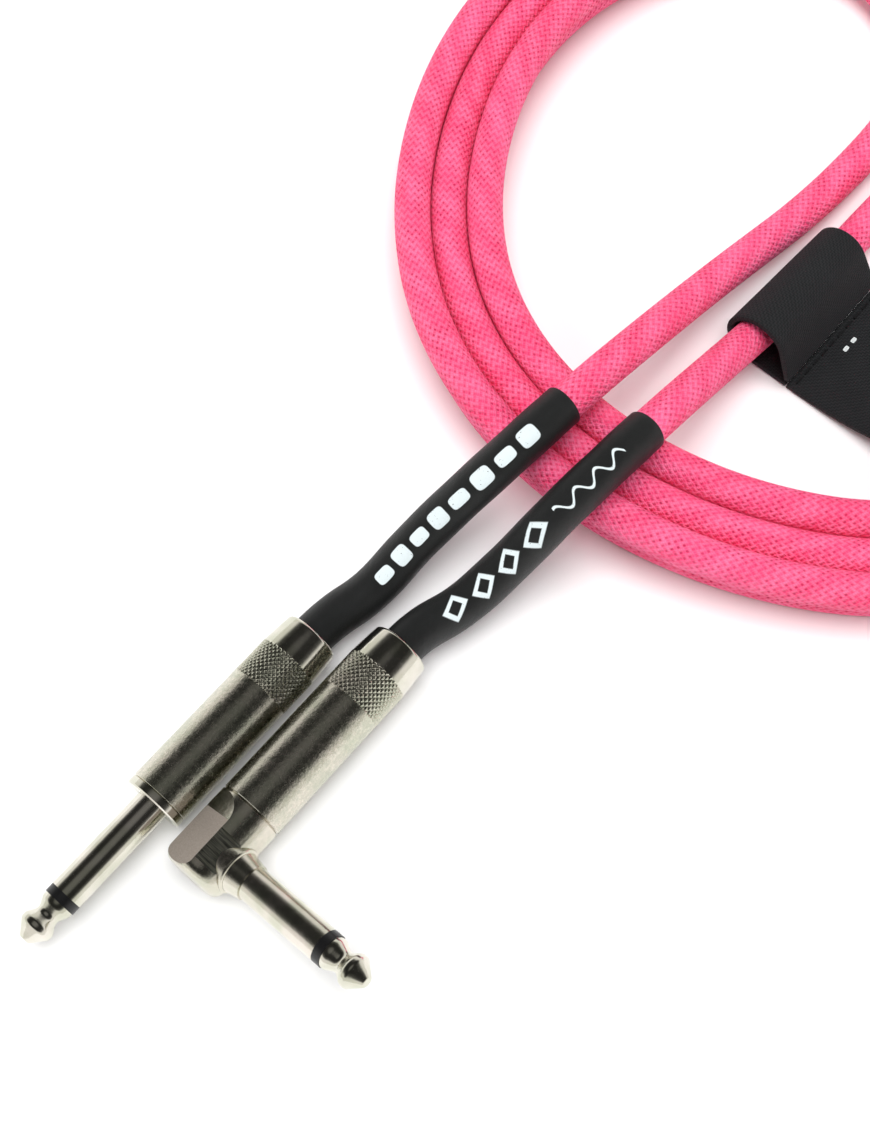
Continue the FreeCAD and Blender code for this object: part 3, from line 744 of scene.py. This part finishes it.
def finishNode(node, finish):
    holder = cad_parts[node].data
    holder.materials.clear()
    holder.materials.append(finish)


for part, (name, dark, light, *rest) in insideSet.items():
    finish = plainFinish(name, shade(*dark), shade(*light), *rest)
    for plug in ("straight", "angle"):
        finishNode(plug + "_" + part, finish)
print("inner pieces finished")


# the strap

strapSet = {
    "start": 0.1336,
    "width": 0.030,
    "thick": 0.0013,
    "layer": 0.0006,
    "pileRise": 0.00034,
    "weaveRise": 0.00096,
    "threads": 1900.0,
    "loopY": -0.0026,
    "near": 0.0056,
    "far": 0.0044,
    "reach": 0.0089,
    "gap": 0.0003,
    "sway": 0.00012,
    "columns": 24,
}

# the row of short white threads beside the seam
dashSet = {
    "middle": 0.0042,
    "halfLength": 0.00042,
    "pitch": 0.0026,
    "halfWidth": 0.27,
    "from": 0.0130,
    "to": 0.0182,
}


def weaveFinish(name, dark, light, threads, depth, rough, dashes=False):
    # plain weave: threads cross over and under, with a little fuzz and a painted highlight on the thread
    # crests
    finish = Finish(name)
    x, across, _ = finish.along()
    warp = (x * threads).wave()
    weft = (across * threads).wave()
    over = (((x * threads * 0.5).fraction() - 0.5) * ((across * threads * 0.5).fraction() - 0.5)).above(0.0)
    cell = warp * over + weft * (1.0 - over)
    fuzz = finish.noise(finish.place(), 4600.0, 3.0, 0.7)
    cloud = finish.noise(finish.place(), 220.0, 3.0)
    # painted highlight: the crests of the threads get the lighter colour, mixed with the fuzz and cloud
    colour = finish.mix(cell * 0.35 + fuzz * 0.45 + cloud * 0.2, dark, light)
    if dashes:
        length = ((x - dashSet["middle"]) / dashSet["halfLength"]).size().power(4.0)
        width = (((across / dashSet["pitch"]).fraction() - 0.5) / dashSet["halfWidth"]).size().power(4.0)
        row = (length + width).ramp(0.8, 1.2, 1.0, 0.0) * between(across, dashSet["from"], dashSet["to"])
        colour = finish.mix(row, colour, shade(0.86, 0.88, 0.88))
    normal = finish.bump(cell * 0.6 + fuzz * 0.8, depth)
    return finish.give(colour=colour, rough=rough, normal=normal, specular=0.2, sheen=0.12, sheenRough=0.5,
                       sheenTint=shade(0.5, 0.5, 0.52))


weaveColours = (shade(0.03, 0.03, 0.034), shade(0.20, 0.205, 0.21))
napColours = (shade(0.05, 0.05, 0.052), shade(0.32, 0.31, 0.30))
strapWeave = weaveFinish("strapWeave", *weaveColours, strapSet["threads"], 0.00016, 0.85)
strapFace = weaveFinish("strapFace", *weaveColours, strapSet["threads"], 0.00016, 0.85, True)
strapNap = weaveFinish("strapNap", *napColours, 1300.0, 0.0004, 0.95)


def band(name, profiles, thick, segments, finish, sway=0.0):
    # cloth swept from one side outline to the other: profiles hold the outline at each end
    first, last = profiles
    shape = bmesh.new()
    lie = shape.loops.layers.uv.new("lie")
    walked = lengths([Vector((0, y, z)) for y, z in first])
    columns = []
    for step in range(segments + 1):
        part = step / segments
        x = strapSet["start"] + strapSet["width"] * part
        column = []
        for (yA, zA), (yB, zB), at in zip(first, last, walked):
            lift = sway * math.sin(at * 170 + part * 4.0) * math.sin(part * math.pi)
            column.append(shape.verts.new((x, yA + (yB - yA) * part, zA + (zB - zA) * part + lift)))
        columns.append(column)
    for step in range(segments):
        for row in range(len(first) - 1):
            corners = [(step, row), (step, row + 1), (step + 1, row + 1), (step + 1, row)]
            face = shape.faces.new([columns[column][place] for column, place in corners])
            face.smooth = True
            for loop, (column, place) in zip(face.loops, corners):
                loop[lie].uv = (walked[place], strapSet["width"] * column / segments)
    bmesh.ops.recalc_face_normals(shape, faces=shape.faces)
    cloth = made(name, shape)
    wall = cloth.modifiers.new("wall", "SOLIDIFY")
    wall.thickness = thick
    wall.offset = 0.0
    rim = cloth.modifiers.new("rim", "BEVEL")
    rim.width = thick * 0.22
    rim.segments = 2
    rim.limit_method = "ANGLE"
    cloth.data.materials.append(finish)
    return cloth, walked[-1]


def loopOutline(inside):
    # from the seam, over the lead, round its far side and back under to the seam
    half = strapSet["thick"] / 2
    y = strapSet["loopY"]
    radius = inside + half
    middle = radius + half
    tip = y - strapSet["reach"]
    outline = [(tip, half * 3)]
    lean = math.atan2(half * 3 - middle, tip - y)
    touch = lean - math.acos(min(radius / math.hypot(tip - y, half * 3 - middle), 1.0))
    start = math.degrees(touch) % 360
    top = (y + radius * math.cos(touch), middle + radius * math.sin(touch))
    for step in range(1, 8):
        outline.append((tip + (top[0] - tip) * step / 8, half * 3 + (top[1] - half * 3) * step / 8))
    turns = 34
    for step in range(turns + 1):
        turn = math.radians(start + (-90.0 - start) * step / turns)
        outline.append((y + radius * math.cos(turn), middle + radius * math.sin(turn)))
    for step in range(1, 7):
        outline.append((y + (tip - y) * step / 6, half))
    return outline


def flapLine():
    # out from the seam on the floor, up over the coil and down again
    seam = strapSet["loopY"] - strapSet["reach"] - strapSet["gap"]
    points = [(seam, 0.0), (seam - 0.019, 0.0), (seam - 0.0395, 0.0155), (seam - 0.077, 0.0157),
              (seam - 0.094, 0.0009), (seam - 0.106, 0.0006)]
    line = []
    before = points[0]
    for corner, after in zip(points[1:-1], points[2:]):
        middle = ((corner[0] + after[0]) / 2, (corner[1] + after[1]) / 2)
        stop = points[-1] if after == points[-1] else middle
        for step in range(24):
            part = step / 24
            line.append(tuple((1 - part) ** 2 * a + 2 * part * (1 - part) * b + part * part * c
                              for a, b, c in zip(before, corner, stop)))
        before = stop
    line.append(points[-1])
    return line


def makeStrap():
    loop, loopLength = band("strapLoop", (loopOutline(strapSet["near"]), loopOutline(strapSet["far"])),
                            strapSet["thick"] * 0.94, strapSet["columns"], strapWeave, strapSet["sway"])
    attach(loop, "strap_loop")
    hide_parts("strap_loop")
    line = flapLine()
    pile = [(y, z + strapSet["pileRise"]) for y, z in line]
    weave = [(y, z + strapSet["weaveRise"]) for y, z in line]
    under, _ = band("strapPile", (pile, pile), strapSet["layer"], strapSet["columns"], strapNap)
    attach(under, "strap_flap")
    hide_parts("strap_pile")
    over, flapLength = band("strapFlap", (weave, weave), strapSet["layer"], strapSet["columns"], strapFace)
    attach(over, "strap_flap")
    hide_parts("strap_flap")
    return loop, under, over, loopLength, flapLength


strapLoop, strapPile, strapFlap, loopLength, flapLength = makeStrap()
threadColours = (shade(0.02, 0.02, 0.022), shade(0.12, 0.12, 0.125))
finishNode("strap_stitching", plainFinish("stitchThread", *threadColours, 5200.0, 0.7))
print("strap made")


# floor and light

lightSet = {
    "sideLeft": ((-0.8, 0.8, 0.8), 0.9, 7.0),
    "sideRight": ((0.9, -0.9, 0.7), 0.9, 5.8),
}


def makeStage():
    shape = bmesh.new()
    bmesh.ops.create_grid(shape, x_segments=2, y_segments=2, size=3.0)
    bmesh.ops.translate(shape, verts=shape.verts, vec=(0.1, 0.0, -0.0002))
    floor = made("floor", shape)
    finish = Finish("paleFloor")
    floor.data.materials.append(finish.give(colour=shade(0.97, 0.97, 0.97), rough=0.7, specular=0.2))

    world = bpy.data.worlds.new("studio")
    bpy.context.scene.world = world
    world.use_nodes = True
    nodes = world.node_tree.nodes
    links = world.node_tree.links
    direction = nodes.new("ShaderNodeTexCoord")
    split = nodes.new("ShaderNodeSeparateXYZ")
    links.new(direction.outputs["Generated"], split.inputs[0])
    ramp = nodes.new("ShaderNodeValToRGB")
    links.new(split.outputs[2], ramp.inputs[0])
    stops = [(0.0, 0.95), (0.34, 0.88), (0.50, 0.10), (0.70, 0.025), (0.90, 0.03), (0.985, 0.16)]
    while len(ramp.color_ramp.elements) < len(stops):
        ramp.color_ramp.elements.new(0.5)
    for element, (place, level) in zip(ramp.color_ramp.elements, stops):
        element.position = place
        element.color = (level, level * 0.985, level * 0.955, 1.0)
    links.new(ramp.outputs[0], nodes["Background"].inputs[0])
    nodes["Background"].inputs[1].default_value = 1.0

    sky = bpy.data.lights.new("overhead", "SUN")
    sky.energy = 2.85
    sky.angle = 0.8
    above = bpy.data.objects.new("overhead", sky)
    above.location = (0.05, 0.05, 1.2)
    above.visible_glossy = False
    bpy.context.collection.objects.link(above)
    for name, (place, size, power) in lightSet.items():
        lamp = bpy.data.lights.new(name, "AREA")
        lamp.size = size
        lamp.energy = power
        lamp.shape = "SQUARE"
        holder = bpy.data.objects.new(name, lamp)
        holder.location = place
        aim = Vector((0.08, 0.0, 0.0)) - Vector(place)
        holder.rotation_euler = aim.to_track_quat("-Z", "Y").to_euler()
        holder.visible_glossy = False
        bpy.context.collection.objects.link(holder)
    bpy.context.scene.view_settings.view_transform = "Standard"


makeStage()
